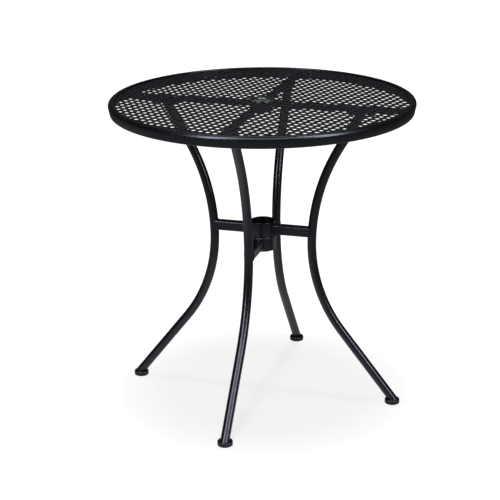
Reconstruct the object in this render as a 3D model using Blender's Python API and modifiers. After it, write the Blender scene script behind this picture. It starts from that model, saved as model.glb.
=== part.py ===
"""Round balcony table: expanded-metal top in a rolled rim, two crossed leg frames, an umbrella hole with its plug.

+X is the right-hand leg, -Y the front leg, +Z up. The floor is z = 0 and the table's axis is the Z axis.
"""

import math

import bmesh
import bpy
from mathutils import Matrix, Vector

MM = 0.001

# Clearances
GAP = 0.3 * MM              # between two pieces that touch
HOLE_CLEARANCE = 1.0 * MM   # round the insert where it passes the sheet
SHEET_EDGE_CLEARANCE = 2.0 * MM
BOLT_CLEARANCE = 0.35 * MM  # round each bolt's shank

# Whole table
TABLE_RADIUS = 350 * MM
TABLE_HEIGHT = 720 * MM

# Rolled rim: flat flange, round shoulder, slightly drawn-in skirt
RIM_HEIGHT = 23 * MM
RIM_FLANGE = 14 * MM
RIM_SHOULDER = 10 * MM
RIM_DRAFT = 3.5 * MM
RIM_SHEET = 1.5 * MM
RIM_LIP = 3.0 * MM
RIM_HEM = 2.6 * MM
RIM_STEPS = 72

# Expanded-metal sheet
SHEET_THICKNESS = 1.5 * MM
OPENING_PITCH = 36 * MM
STRAND_WIDTH = 8.8 * MM
PATTERN_TURN = math.radians(-17.4)
OPENING_MARGIN = 3.0 * MM   # openings run this far under the flange and under the insert's flange

# Cross of square tubes under the sheet
BAR_SIZE = 13 * MM
BAR_WALL = 1.2 * MM
BAR_CORNER = 1.5 * MM
COLLAR_WALL = 2.5 * MM

# Plastic insert in the umbrella hole, and the plug that lifts out of it
POLE_HOLE_RADIUS = 19.5 * MM
INSERT_WALL = 4.0 * MM
INSERT_FLANGE_RADIUS = 30 * MM
INSERT_FLANGE_THICKNESS = 1.8 * MM
INSERT_DEPTH = 26 * MM
INSERT_SEAT_DEPTH = 1.2 * MM
PLUG_HEAD_RADIUS = 21 * MM
PLUG_SKIRT_WALL = 1.6 * MM
PLUG_SKIRT_LENGTH = 16 * MM
PLUG_DISH_RADIUS = 16.5 * MM
PLUG_DISH_DEPTH = 0.9 * MM
PLUG_FLOOR = 1.8 * MM

# Legs: round tube, straight at both ends with two bends that meet at the waist
LEG_RADIUS = 10.5 * MM
LEG_WALL = 1.2 * MM
WAIST_RADIUS = 118.5 * MM
WAIST_HEIGHT = 382 * MM
UPPER_BEND = 462 * MM
UPPER_ANGLE = math.radians(30.5)
LOWER_BEND = 342 * MM
LOWER_ANGLE = math.radians(38.3)

# Hub: one ring for each leg frame, one on top of the other, and the arms between ring and leg
RING_HEIGHT = 34.5 * MM
RING_WALL = 2.5 * MM
RING_SEAM_HEIGHT = 395 * MM
RING_EDGE = 0.8 * MM
UPPER_RING_RADIUS = 29 * MM
LOWER_RING_RADIUS = 30 * MM
BEAD_HEIGHT = 3.0 * MM
BEAD_DEPTH = 1.3 * MM
RING_STEPS = 28
ARM_SIZE = 22 * MM
ARM_WALL = 1.5 * MM
ARM_CORNER = 2.0 * MM
ARM_OFFSET = 2.8 * MM       # how far each arm lies from the middle of its ring, towards the seam

# Plates on the leg tops and the bolts that hold them to the cross
PLATE_LENGTH = 66 * MM
PLATE_WIDTH = 25 * MM
PLATE_THICKNESS = 3 * MM
PLATE_CORNER = 6 * MM
BOLT_SPACING = 50 * MM
BOLT_RADIUS = 3 * MM
BOLT_HEAD_FLATS = 10 * MM
BOLT_HEAD_HEIGHT = 4 * MM
BOLT_FLANGE_RADIUS = 6.5 * MM
BOLT_FLANGE_HEIGHT = 1.2 * MM
BOLT_TIP = 1.0 * MM         # how far the bolt passes the nut
NUT_FLATS = 10 * MM
NUT_HEIGHT = 5 * MM

# Feet: a round pad with a slanted stem up the leg's bore
FOOT_RADIUS = 17.5 * MM
FOOT_HEIGHT = 11 * MM
FOOT_EDGE = 3 * MM
FOOT_INSET = 0.8 * MM       # the pad's centre lies this far inside the leg's centre line
FOOT_STEM = 18 * MM
FOOT_STEPS = 24

# Heights and radii that follow
flange_inner_radius = TABLE_RADIUS - RIM_FLANGE
shoulder_radius = min(RIM_SHOULDER, 0.8 * RIM_FLANGE, 0.8 * RIM_HEIGHT)
shoulder_centre_radius = TABLE_RADIUS - shoulder_radius
shoulder_centre_height = TABLE_HEIGHT - shoulder_radius
rim_bottom = TABLE_HEIGHT - RIM_HEIGHT
sheet_top = TABLE_HEIGHT - RIM_LIP - GAP
sheet_bottom = sheet_top - SHEET_THICKNESS
bar_top = sheet_bottom - GAP
bar_middle = bar_top - BAR_SIZE / 2
bar_bottom = bar_top - BAR_SIZE
plate_top = bar_bottom - GAP
plate_bottom = plate_top - PLATE_THICKNESS
leg_top = plate_bottom - GAP
leg_bottom = FOOT_HEIGHT + GAP
insert_radius = POLE_HOLE_RADIUS + INSERT_WALL
collar_inner_radius = insert_radius + GAP
collar_radius = collar_inner_radius + COLLAR_WALL
insert_flange_bottom = sheet_top + GAP
insert_flange_top = insert_flange_bottom + INSERT_FLANGE_THICKNESS
insert_seat = insert_flange_top - INSERT_SEAT_DEPTH

STATIONS = (("right", 0), ("rear", 90), ("left", 180), ("front", 270))
UPPER_STATIONS = ("right", "left")


def leg_axis_radius(height):
    """Distance of the leg's centre line from the table's axis at a height."""
    rise = height - WAIST_HEIGHT
    bend, angle = (UPPER_BEND, UPPER_ANGLE) if rise > 0 else (LOWER_BEND, LOWER_ANGLE)
    arc_rise = bend * math.sin(angle)
    if abs(rise) <= arc_rise:
        return WAIST_RADIUS + bend - math.sqrt(bend ** 2 - rise ** 2)
    arc_end = WAIST_RADIUS + bend * (1 - math.cos(angle))
    return arc_end + (abs(rise) - arc_rise) * math.tan(angle)


def leg_path(overrun):
    """Centre line from below the foot's top to above the plate, long enough to be cut level at both ends."""
    points = [Vector((leg_axis_radius(leg_bottom - overrun), 0, leg_bottom - overrun))]
    for bend, angle, steps, sign in ((LOWER_BEND, LOWER_ANGLE, 8, -1), (UPPER_BEND, UPPER_ANGLE, 7, 1)):
        arc = [(WAIST_RADIUS + bend * (1 - math.cos(angle * i / steps)), 0,
                WAIST_HEIGHT + sign * bend * math.sin(angle * i / steps)) for i in range(steps + 1)]
        points += [Vector(p) for p in (arc[::-1] if sign < 0 else arc[1:])]
    points.append(Vector((leg_axis_radius(leg_top + overrun), 0, leg_top + overrun)))
    return points


def rim_inside_radius(height):
    """Radius of the rim's inner face at a height between the hem and the flange."""
    if height >= shoulder_centre_height:
        inner = shoulder_radius - RIM_SHEET
        drop = min(height - shoulder_centre_height, inner)
        return shoulder_centre_radius + math.sqrt(inner ** 2 - drop ** 2)
    skirt = shoulder_centre_height - rim_bottom
    return TABLE_RADIUS - RIM_SHEET - RIM_DRAFT * (shoulder_centre_height - height) / skirt


def collection_named(name):
    collection = bpy.data.collections.new(name)
    bpy.context.scene.collection.children.link(collection)
    return collection


def material(name, colour, roughness, metallic):
    made = bpy.data.materials.new(name)
    made.use_nodes = True
    shader = made.node_tree.nodes["Principled BSDF"]
    shader.inputs["Base Color"].default_value = (*colour, 1)
    shader.inputs["Roughness"].default_value = roughness
    shader.inputs["Metallic"].default_value = metallic
    return made


def evaluated_mesh(source):
    """The mesh that an object's modifiers or bevel give, with its loose seams welded; the object is removed."""
    bpy.context.view_layer.update()
    graph = bpy.context.evaluated_depsgraph_get()
    mesh = bpy.data.meshes.new_from_object(source.evaluated_get(graph))
    mesh.transform(source.matrix_world)
    bm = bmesh.new()
    bm.from_mesh(mesh)
    bmesh.ops.remove_doubles(bm, verts=bm.verts, dist=0.00001)
    bmesh.ops.recalc_face_normals(bm, faces=bm.faces)
    bm.to_mesh(mesh)
    bm.free()
    bpy.data.objects.remove(source)
    return mesh


def scratch_object(name, data):
    made = bpy.data.objects.new(name, data)
    bpy.context.scene.collection.objects.link(made)
    return made


def turned_mesh(name, profile, steps, closed=True):
    """A profile of (radius, height) points, outer side downward, turned round the Z axis."""
    mesh = bpy.data.meshes.new(name)
    vertices = [(radius, 0, height) for radius, height in profile]
    edges = [(i, i + 1) for i in range(len(profile) - 1)]
    if closed:
        edges.append((len(profile) - 1, 0))
    mesh.from_pydata(vertices, edges, [])
    source = scratch_object(name, mesh)
    screw = source.modifiers.new("turn", "SCREW")
    screw.steps = steps
    screw.render_steps = steps
    screw.use_merge_vertices = True
    screw.merge_threshold = 0.00001
    return evaluated_mesh(source)


def flat_mesh(name, outlines, thickness):
    """A plate in the XY plane, centred on z = 0: the first outline is its edge and the others are its holes."""
    curve = bpy.data.curves.new(name, "CURVE")
    curve.dimensions = "2D"
    curve.fill_mode = "BOTH"
    curve.extrude = thickness / 2
    for outline in outlines:
        spline = curve.splines.new("POLY")
        spline.points.add(len(outline) - 1)
        for point, (x, y) in zip(spline.points, outline):
            point.co = (x, y, 0, 1)
        spline.use_cyclic_u = True
    return evaluated_mesh(scratch_object(name, curve))


def tube_mesh(name, path, radius, resolution, capped):
    curve = bpy.data.curves.new(name, "CURVE")
    curve.dimensions = "3D"
    curve.bevel_depth = radius
    curve.bevel_resolution = resolution
    curve.use_fill_caps = capped
    spline = curve.splines.new("POLY")
    spline.points.add(len(path) - 1)
    for point, place in zip(spline.points, path):
        point.co = (*place, 1)
    return evaluated_mesh(scratch_object(name, curve))


def cylinder_mesh(name, radius, bottom, top, sides, turn=0.0):
    bm = bmesh.new()
    bmesh.ops.create_cone(bm, cap_ends=True, segments=sides, radius1=radius, radius2=radius, depth=top - bottom)
    bm.transform(Matrix.Translation((0, 0, (top + bottom) / 2)) @ Matrix.Rotation(turn, 4, "Z"))
    mesh = bpy.data.meshes.new(name)
    bm.to_mesh(mesh)
    bm.free()
    return mesh


def combined(mesh, operation, *others):
    """One mesh joined with, or cut or trimmed by, each of the others in turn."""
    source = scratch_object(mesh.name, mesh)
    operands = []
    for other in others:
        operand = scratch_object(other.name, other)
        operand.display_type = "WIRE"
        operand.hide_render = True
        operands.append(operand)
        boolean = source.modifiers.new(operation.lower(), "BOOLEAN")
        boolean.operation = operation
        boolean.object = operand
    result = evaluated_mesh(source)
    for operand in operands:
        bpy.data.objects.remove(operand)
    return result


def circle(radius, count, turn=0.0):
    return [(radius * math.cos(turn + math.tau * i / count), radius * math.sin(turn + math.tau * i / count))
            for i in range(count)]


def moved(outline, x, y=0.0):
    return [(px + x, py + y) for px, py in outline]


def rounded_rectangle(length, width, corner, steps):
    corner = min(corner, 0.45 * length, 0.45 * width)
    points = []
    for quarter, (sx, sy) in enumerate(((1, 1), (-1, 1), (-1, -1), (1, -1))):
        for i in range(steps + 1):
            angle = math.radians(90 * quarter + 90 * i / steps)
            points.append((sx * (length / 2 - corner) + corner * math.cos(angle),
                           sy * (width / 2 - corner) + corner * math.sin(angle)))
    return points


def hexagon(across_flats):
    """Corners of a hexagon with a corner on +X, so that two of its flats face the bar's side walls."""
    return circle(across_flats / math.sqrt(3), 6)


def square_tube_mesh(name, size, wall, corner, start, end):
    """Square tube along +X from one radius to another, with its centre line on z = 0."""
    outer = rounded_rectangle(size, size, corner, 2)
    inner = rounded_rectangle(size - 2 * wall, size - 2 * wall, max(corner - wall, 0.2 * wall), 1)
    mesh = flat_mesh(name, (outer, inner), end - start)
    mesh.transform(Matrix.Translation(((start + end) / 2, 0, 0)) @ Matrix.Rotation(math.pi / 2, 4, "Y"))
    return mesh


def place(name, mesh, made_of, parent=None, location=(0, 0, 0)):
    """Put a finished mesh in the scene as a named piece."""
    piece = bpy.data.objects.new(name, mesh)
    table.objects.link(piece)
    if not mesh.materials:
        mesh.materials.append(made_of)
    mesh.shade_smooth()
    mesh.set_sharp_from_angle(angle=math.radians(35))
    piece.parent = parent
    piece.location = location
    return piece


def arc(centre, radius, start, end, steps):
    """Points of (radius, height) on a round stretch of a profile, angles in degrees from outward."""
    points = []
    for i in range(steps + 1):
        angle = math.radians(start + (end - start) * i / steps)
        points.append((centre[0] + radius * math.cos(angle), centre[1] + radius * math.sin(angle)))
    return points


def rim_mesh():
    """Flange with a turned-down lip, round shoulder and skirt, and a hem rolled inward at the skirt's foot."""
    centre = (shoulder_centre_radius, shoulder_centre_height)
    inner_radius = shoulder_radius - RIM_SHEET
    bottom_radius = TABLE_RADIUS - RIM_DRAFT
    profile = [(flange_inner_radius, TABLE_HEIGHT - 0.4 * RIM_SHEET),
               (flange_inner_radius + 0.4 * RIM_SHEET, TABLE_HEIGHT)]
    profile += arc(centre, shoulder_radius, 90, 0, 6)
    profile += [(bottom_radius, rim_bottom + 0.3 * RIM_HEM), (bottom_radius - 0.3 * RIM_HEM, rim_bottom)]
    profile += [(bottom_radius - RIM_HEM, rim_bottom), (bottom_radius - RIM_HEM, rim_bottom + RIM_HEM),
                (rim_inside_radius(rim_bottom + RIM_HEM), rim_bottom + RIM_HEM)]
    profile += arc(centre, inner_radius, 0, 90, 3)
    profile += [(flange_inner_radius + RIM_SHEET, TABLE_HEIGHT - RIM_SHEET),
                (flange_inner_radius + RIM_SHEET, TABLE_HEIGHT - RIM_LIP),
                (flange_inner_radius, TABLE_HEIGHT - RIM_LIP)]
    return turned_mesh("rim", profile, RIM_STEPS)


def cut_beyond(outline, normal, limit):
    """The part of an outline whose distance along a direction stays under a limit."""
    kept = []
    for (ax, ay), (bx, by) in zip(outline, outline[1:] + outline[:1]):
        a = ax * normal[0] + ay * normal[1] - limit
        b = bx * normal[0] + by * normal[1] - limit
        if a <= 0:
            kept.append((ax, ay))
        if a * b < 0:
            share = a / (a - b)
            kept.append((ax + share * (bx - ax), ay + share * (by - ay)))
    return kept


def outline_area(outline):
    return abs(sum(ax * by - bx * ay for (ax, ay), (bx, by) in zip(outline, outline[1:] + outline[:1]))) / 2


def sheet_openings():
    """Diamond openings on a turned square lattice, clipped where they meet the rim and the umbrella hole."""
    outer_limit = flange_inner_radius + OPENING_MARGIN
    inner_limit = INSERT_FLANGE_RADIUS - OPENING_MARGIN
    half = (OPENING_PITCH - STRAND_WIDTH) / 2
    square = ((half, half), (-half, half), (-half, -half), (half, -half))
    count = int(TABLE_RADIUS / OPENING_PITCH) + 2
    cosine, sine = math.cos(PATTERN_TURN), math.sin(PATTERN_TURN)
    openings = []
    for i in range(-count, count + 1):
        for j in range(-count, count + 1):
            u, v = (i + 0.5) * OPENING_PITCH, (j + 0.5) * OPENING_PITCH
            opening = [((u + a) * cosine - (v + b) * sine, (u + a) * sine + (v + b) * cosine) for a, b in square]
            reach = math.hypot(u, v)
            normal = ((u * cosine - v * sine) / reach, (u * sine + v * cosine) / reach)
            opening = cut_beyond(opening, normal, outer_limit)
            opening = cut_beyond(opening, (-normal[0], -normal[1]), -inner_limit)
            if len(opening) > 2 and outline_area(opening) > 0.25 * (2 * half) ** 2:
                openings.append(opening)
    return openings


def sheet_mesh():
    edge = circle(rim_inside_radius(sheet_top) - SHEET_EDGE_CLEARANCE, RIM_STEPS)
    hole = circle(insert_radius + HOLE_CLEARANCE, 24)
    openings = sheet_openings()
    print("openings in the sheet:", len(openings))
    mesh = flat_mesh("top_mesh", (edge, hole, *openings), SHEET_THICKNESS)
    mesh.transform(Matrix.Translation((0, 0, sheet_top - SHEET_THICKNESS / 2)))
    return mesh


def insert_mesh():
    """Flanged bush: a seat for the plug, a barrel down through the collar, a chamfered foot."""
    bottom = sheet_top - INSERT_DEPTH
    seat_radius = PLUG_HEAD_RADIUS + GAP
    chamfer = 0.35 * INSERT_FLANGE_THICKNESS
    profile = [(seat_radius, insert_flange_top), (INSERT_FLANGE_RADIUS - chamfer, insert_flange_top),
               (INSERT_FLANGE_RADIUS, insert_flange_top - chamfer), (INSERT_FLANGE_RADIUS, insert_flange_bottom),
               (insert_radius, insert_flange_bottom), (insert_radius, bottom + chamfer),
               (insert_radius - chamfer, bottom), (POLE_HOLE_RADIUS, bottom), (POLE_HOLE_RADIUS, insert_seat),
               (seat_radius, insert_seat)]
    return turned_mesh("pole_hole_insert", profile, RING_STEPS)


def plug_mesh():
    """Cap with a raised round edge and a dished top over a hollow skirt with a snap bead."""
    head_bottom = insert_seat + GAP
    edge = 0.45 * (TABLE_HEIGHT - head_bottom)
    skirt_radius = POLE_HOLE_RADIUS - GAP
    skirt_bottom = head_bottom - PLUG_SKIRT_LENGTH
    dish = TABLE_HEIGHT - PLUG_DISH_DEPTH
    crown_radius = PLUG_DISH_RADIUS + PLUG_DISH_DEPTH
    bore = skirt_radius - PLUG_SKIRT_WALL
    profile = [(0, dish), (PLUG_DISH_RADIUS - edge, dish), (PLUG_DISH_RADIUS, dish + 0.35 * PLUG_DISH_DEPTH),
               (crown_radius, TABLE_HEIGHT)]
    profile += arc((PLUG_HEAD_RADIUS - edge, TABLE_HEIGHT - edge), edge, 90, 0, 3)
    profile += [(PLUG_HEAD_RADIUS, head_bottom), (skirt_radius, head_bottom),
                (skirt_radius, skirt_bottom + PLUG_SKIRT_WALL), (skirt_radius - 0.5 * PLUG_SKIRT_WALL, skirt_bottom),
                (bore, skirt_bottom), (bore, dish - PLUG_FLOOR), (0, dish - PLUG_FLOOR)]
    return turned_mesh("pole_hole_plug", profile, RING_STEPS, closed=False)


def hub_ring_mesh(name, radius, bottom, bead):
    """Short length of tube with eased edges; the lower one carries a bead at its mouth."""
    top = bottom + RING_HEIGHT
    inner = radius - RING_WALL
    profile = [(inner + RING_EDGE, top)]
    if bead:
        profile += [(radius + BEAD_DEPTH - RING_EDGE, top), (radius + BEAD_DEPTH, top - 0.3 * BEAD_HEIGHT),
                    (radius + BEAD_DEPTH, top - 0.7 * BEAD_HEIGHT), (radius, top - BEAD_HEIGHT)]
    else:
        profile += [(radius - RING_EDGE, top), (radius, top - RING_EDGE)]
    profile += [(radius, bottom + RING_EDGE), (radius - RING_EDGE, bottom), (inner + RING_EDGE, bottom),
                (inner, bottom + RING_EDGE), (inner, top - RING_EDGE)]
    return turned_mesh(name, profile, RING_STEPS)


def collar_mesh():
    profile = [(collar_inner_radius, bar_top), (collar_radius, bar_top), (collar_radius, bar_bottom),
               (collar_inner_radius, bar_bottom)]
    return turned_mesh("centre_collar", profile, RING_STEPS)


def bar_mesh(bolt_radii):
    """Square tube from the collar to the skirt, with two bolt holes through its lower wall."""
    end = min(rim_inside_radius(bar_top), rim_inside_radius(bar_bottom)) - 2 * GAP
    mesh = square_tube_mesh("under_bar", BAR_SIZE, BAR_WALL, BAR_CORNER, collar_radius + GAP, end)
    mesh.transform(Matrix.Translation((0, 0, bar_middle)))
    drills = []
    for radius in bolt_radii:
        drill = cylinder_mesh("drill", BOLT_RADIUS + BOLT_CLEARANCE, bar_bottom - BAR_WALL, bar_bottom + 2 * BAR_WALL, 12)
        drill.transform(Matrix.Translation((radius, 0, 0)))
        drills.append(drill)
    return combined(mesh, "DIFFERENCE", *drills)


def leg_mesh():
    """Bent tube, hollow, cut level under the plate and on the foot."""
    overrun = 3 * LEG_RADIUS
    mesh = tube_mesh("leg", leg_path(overrun), LEG_RADIUS, 4, False)
    source = scratch_object("leg", mesh)
    wall = source.modifiers.new("wall", "SOLIDIFY")
    wall.thickness = LEG_WALL
    wall.offset = -1
    wall.use_even_offset = True
    hollow = evaluated_mesh(source)
    slab = cylinder_mesh("slab", 2 * TABLE_RADIUS, leg_bottom, leg_top, 8)
    return combined(hollow, "INTERSECT", slab)


def arm_mesh(ring_radius, height):
    """Square tube from a hub ring to a leg, coped to both. Its side walls stop short of the leg's widest line."""
    near = min(leg_axis_radius(height - ARM_SIZE / 2), leg_axis_radius(height + ARM_SIZE / 2))
    mesh = square_tube_mesh("arm", ARM_SIZE, ARM_WALL, ARM_CORNER, 0.5 * ring_radius, near - 0.35 * LEG_RADIUS)
    mesh.transform(Matrix.Translation((0, 0, height)))
    ring = cylinder_mesh("ring_cope", ring_radius + GAP, height - ARM_SIZE, height + ARM_SIZE, RING_STEPS)
    overrun = 3 * LEG_RADIUS
    leg = tube_mesh("leg_cope", leg_path(overrun), LEG_RADIUS + GAP, 4, True)
    return combined(mesh, "DIFFERENCE", ring, leg)


def plate_mesh():
    hole = circle(BOLT_RADIUS + BOLT_CLEARANCE, 12)
    outlines = (rounded_rectangle(PLATE_LENGTH, PLATE_WIDTH, PLATE_CORNER, 3),
                moved(hole, -BOLT_SPACING / 2), moved(hole, BOLT_SPACING / 2))
    return flat_mesh("leg_plate", outlines, PLATE_THICKNESS)


def bolt_mesh():
    """Flanged hexagon bolt, head down, its flange's seat on z = 0."""
    head = flat_mesh("bolt_head", (hexagon(BOLT_HEAD_FLATS),), BOLT_HEAD_HEIGHT)
    head.transform(Matrix.Translation((0, 0, -BOLT_FLANGE_HEIGHT - BOLT_HEAD_HEIGHT / 2 + 0.5 * BOLT_FLANGE_HEIGHT)))
    flange = cylinder_mesh("bolt_flange", BOLT_FLANGE_RADIUS, -BOLT_FLANGE_HEIGHT, 0, 12)
    reach = GAP + PLATE_THICKNESS + GAP + BAR_WALL + GAP + NUT_HEIGHT + BOLT_TIP
    shank = cylinder_mesh("bolt_shank", BOLT_RADIUS, -0.5 * BOLT_FLANGE_HEIGHT, reach, 12)
    return combined(head, "UNION", flange, shank)


def nut_mesh():
    return flat_mesh("nut", (hexagon(NUT_FLATS), circle(BOLT_RADIUS + BOLT_CLEARANCE, 12)), NUT_HEIGHT)


def foot_mesh(centre_radius):
    """Round pad with a soft top edge, and a stem that follows the leg up its bore."""
    flat = FOOT_RADIUS - min(FOOT_EDGE, 0.4 * FOOT_HEIGHT)
    edge = FOOT_RADIUS - flat
    lower = 0.3 * edge
    profile = [(0, FOOT_HEIGHT)] + arc((flat, FOOT_HEIGHT - edge), edge, 90, 0, 3)
    profile += [(FOOT_RADIUS, lower), (FOOT_RADIUS - lower, 0), (0, 0)]
    pad = turned_mesh("foot", profile, FOOT_STEPS, closed=False)
    pad.transform(Matrix.Translation((centre_radius, 0, 0)))
    root = FOOT_HEIGHT - 0.5 * edge
    tip = FOOT_HEIGHT + FOOT_STEM * math.cos(LOWER_ANGLE)
    path = [Vector((leg_axis_radius(height), 0, height)) for height in (root, tip)]
    stem = tube_mesh("foot_stem", path, LEG_RADIUS - LEG_WALL - 2 * GAP, 4, True)
    return combined(pad, "UNION", stem)


for old in list(bpy.data.objects):
    bpy.data.objects.remove(old)

table = collection_named("balcony_table")

powder_coat = material("black_powder_coat", (0.022, 0.023, 0.026), 0.42, 0.0)
foot_plastic = material("black_foot_plastic", (0.018, 0.018, 0.019), 0.5, 0.0)
insert_plastic = material("black_insert_plastic", (0.020, 0.021, 0.022), 0.38, 0.0)
zinc_steel = material("zinc_plated_steel", (0.55, 0.56, 0.57), 0.35, 1.0)

plate_radius = leg_axis_radius(plate_bottom)
foot_radius_place = leg_axis_radius(FOOT_HEIGHT) - FOOT_INSET
bolt_radii = (plate_radius - BOLT_SPACING / 2, plate_radius + BOLT_SPACING / 2)
upper_arm_height = RING_SEAM_HEIGHT + GAP / 2 + RING_HEIGHT / 2 - ARM_OFFSET
lower_arm_height = RING_SEAM_HEIGHT - GAP / 2 - RING_HEIGHT / 2 + ARM_OFFSET

place("rim", rim_mesh(), powder_coat)
place("top_mesh", sheet_mesh(), powder_coat)
place("centre_collar", collar_mesh(), powder_coat)
place("pole_hole_insert", insert_mesh(), insert_plastic)

# The plug hangs on an empty on its lift axis, at the seat it rests on
plug_seat = bpy.data.objects.new("plug_lift_axis", None)
plug_seat.location = (0, 0, insert_seat)
table.objects.link(plug_seat)
place("pole_hole_plug", plug_mesh(), insert_plastic, plug_seat, (0, 0, -insert_seat))

place("hub_ring_upper", hub_ring_mesh("hub_ring_upper", UPPER_RING_RADIUS, RING_SEAM_HEIGHT + GAP / 2, False),
      powder_coat)
place("hub_ring_lower", hub_ring_mesh("hub_ring_lower", LOWER_RING_RADIUS, RING_SEAM_HEIGHT - GAP / 2 - RING_HEIGHT,
                                      True), powder_coat)

leg_shape = leg_mesh()
bar_shape = bar_mesh(bolt_radii)
plate_shape = plate_mesh()
foot_shape = foot_mesh(foot_radius_place)
upper_arm_shape = arm_mesh(UPPER_RING_RADIUS, upper_arm_height)
lower_arm_shape = arm_mesh(LOWER_RING_RADIUS, lower_arm_height)

bolt_shape = bolt_mesh()
nut_shape = nut_mesh()

for station, degrees in STATIONS:
    side = bpy.data.objects.new("side_" + station, None)
    side.rotation_euler = (0, 0, math.radians(degrees))
    table.objects.link(side)
    arm_shape = upper_arm_shape if station in UPPER_STATIONS else lower_arm_shape
    place("under_bar_" + station, bar_shape, powder_coat, side)
    place("leg_plate_" + station, plate_shape, powder_coat, side,
          (plate_radius, 0, plate_bottom + PLATE_THICKNESS / 2))
    place("leg_" + station, leg_shape, powder_coat, side)
    place("arm_" + station, arm_shape, powder_coat, side)
    place("foot_" + station, foot_shape, foot_plastic, side)
    for position, radius in zip(("inner", "outer"), bolt_radii):
        place("bolt_%s_%s" % (station, position), bolt_shape, zinc_steel, side, (radius, 0, plate_bottom - GAP))
        place("nut_%s_%s" % (station, position), nut_shape, zinc_steel, side,
              (radius, 0, bar_bottom + BAR_WALL + GAP + NUT_HEIGHT / 2))
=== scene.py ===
import math

import bmesh
import bpy
from mathutils import Matrix, Vector, noise


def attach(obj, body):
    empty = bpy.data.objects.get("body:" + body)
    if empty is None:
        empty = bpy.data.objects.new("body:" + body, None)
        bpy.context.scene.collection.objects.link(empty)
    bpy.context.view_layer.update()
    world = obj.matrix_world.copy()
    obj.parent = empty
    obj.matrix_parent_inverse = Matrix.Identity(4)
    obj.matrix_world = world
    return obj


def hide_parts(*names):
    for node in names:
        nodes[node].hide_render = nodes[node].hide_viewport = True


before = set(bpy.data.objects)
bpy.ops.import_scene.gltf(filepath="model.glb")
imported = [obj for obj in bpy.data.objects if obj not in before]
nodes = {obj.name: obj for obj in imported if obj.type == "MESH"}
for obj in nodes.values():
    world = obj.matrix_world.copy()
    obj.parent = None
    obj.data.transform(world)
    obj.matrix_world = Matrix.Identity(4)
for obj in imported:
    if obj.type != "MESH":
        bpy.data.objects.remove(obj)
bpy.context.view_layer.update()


# The view of the photograph: a long lens a little over three metres away, looking down on the top from in
# front and slightly from the right. Angles are in degrees, places in metres, and the lens in millimetres.
CAMERA_TURN = 16.55
CAMERA_RISE = 19.12
CAMERA_ROLL = -0.533
CAMERA_DISTANCE = 3.3805
CAMERA_LENS = 103.243
CAMERA_SENSOR = 36
CAMERA_NEAR = 0.1
CAMERA_FAR = 100
AIM_RIGHT = -0.0305
AIM_HEIGHT = 0.3551


def direction(turn, rise):
    """Unit vector out from the table, turned round it from the front and raised above level."""
    a, e = math.radians(turn), math.radians(rise)
    return Vector((math.sin(a) * math.cos(e), -math.cos(a) * math.cos(e), math.sin(e)))


camera = bpy.data.objects.new("camera", bpy.data.cameras.new("camera"))
bpy.context.scene.collection.objects.link(camera)
bpy.context.scene.camera = camera
camera.data.lens = CAMERA_LENS
camera.data.sensor_width = CAMERA_SENSOR
camera.data.clip_start = CAMERA_NEAR
camera.data.clip_end = CAMERA_FAR
back = direction(CAMERA_TURN, CAMERA_RISE)
across = Vector((math.cos(math.radians(CAMERA_TURN)), math.sin(math.radians(CAMERA_TURN)), 0))
upward = back.cross(across)
roll = math.radians(CAMERA_ROLL)
camera_right = across * math.cos(roll) + upward * math.sin(roll)
camera_up = upward * math.cos(roll) - across * math.sin(roll)
aim = across * AIM_RIGHT + Vector((0, 0, AIM_HEIGHT))
camera.matrix_world = Matrix.Translation(aim + back * CAMERA_DISTANCE) @ Matrix(
    (camera_right, camera_up, back)).transposed().to_4x4()


# The studio: a round white floor that runs up into a low wall, under a dark ceiling. One lamp high overhead
# throws the table's soft shadow, softboxes stand in front and behind, and two tall strips show only in the
# coat's gloss, as bright bands along the legs and rim. The floor's white glow is dimmer under the table, a
# painted shadow round the lamp's real one, and in gloss the floor's white fades with distance.
FLOOR_RADIUS = 12.0
FLOOR_SIDES = 96
WALL_HEIGHT = 3.0
FLOOR_GREY = 0.26
# The floor's glow is dimmer near the table's axis, a painted shadow under the table, and clear farther out.
FLOOR_GLOW_IN_PAINTED_SHADOW = 0.79
FLOOR_GLOW_CLEAR = 1.0
PAINTED_SHADOW_FADE_START = 0.20
PAINTED_SHADOW_FADE_END = 0.52
WALL_DIM_START = 0.8
WALL_DIM_END = 2.6
WALL_DIM = 0.25
GLOSS_CENTRE = (-0.12, -0.26, 0)
GLOSS_REACH_START = 0.36
GLOSS_REACH_END = 0.74
GLOSS_MIDDLE = 0.38
GLOSS_FALL_START = 1.25
GLOSS_FALL_END = 2.6
GLOSS_FAR = 0.15
CEILING_GREY = 0.03
SOFTBOX_AIM_HEIGHT = 0.4

# Name, turn, rise, distance, width, height, power in watts, and the rays that the lamp is hidden from.
SOFTBOXES = (
    ("overhead", 0, 90, 14.0, 1.0, 1.0, 1350, {"visible_glossy": False}),
    ("front", 14, 46, 3.0, 1.8, 1.2, 24, {}),
    ("left_strip", -22, 38, 3.0, 0.70, 3.2, 98, {"visible_diffuse": False}),
    ("right_strip", 64, 38, 3.0, 0.75, 3.2, 108, {"visible_diffuse": False}),
    ("rear", 200, 62, 3.0, 1.6, 0.8, 10, {}),
)


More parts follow.
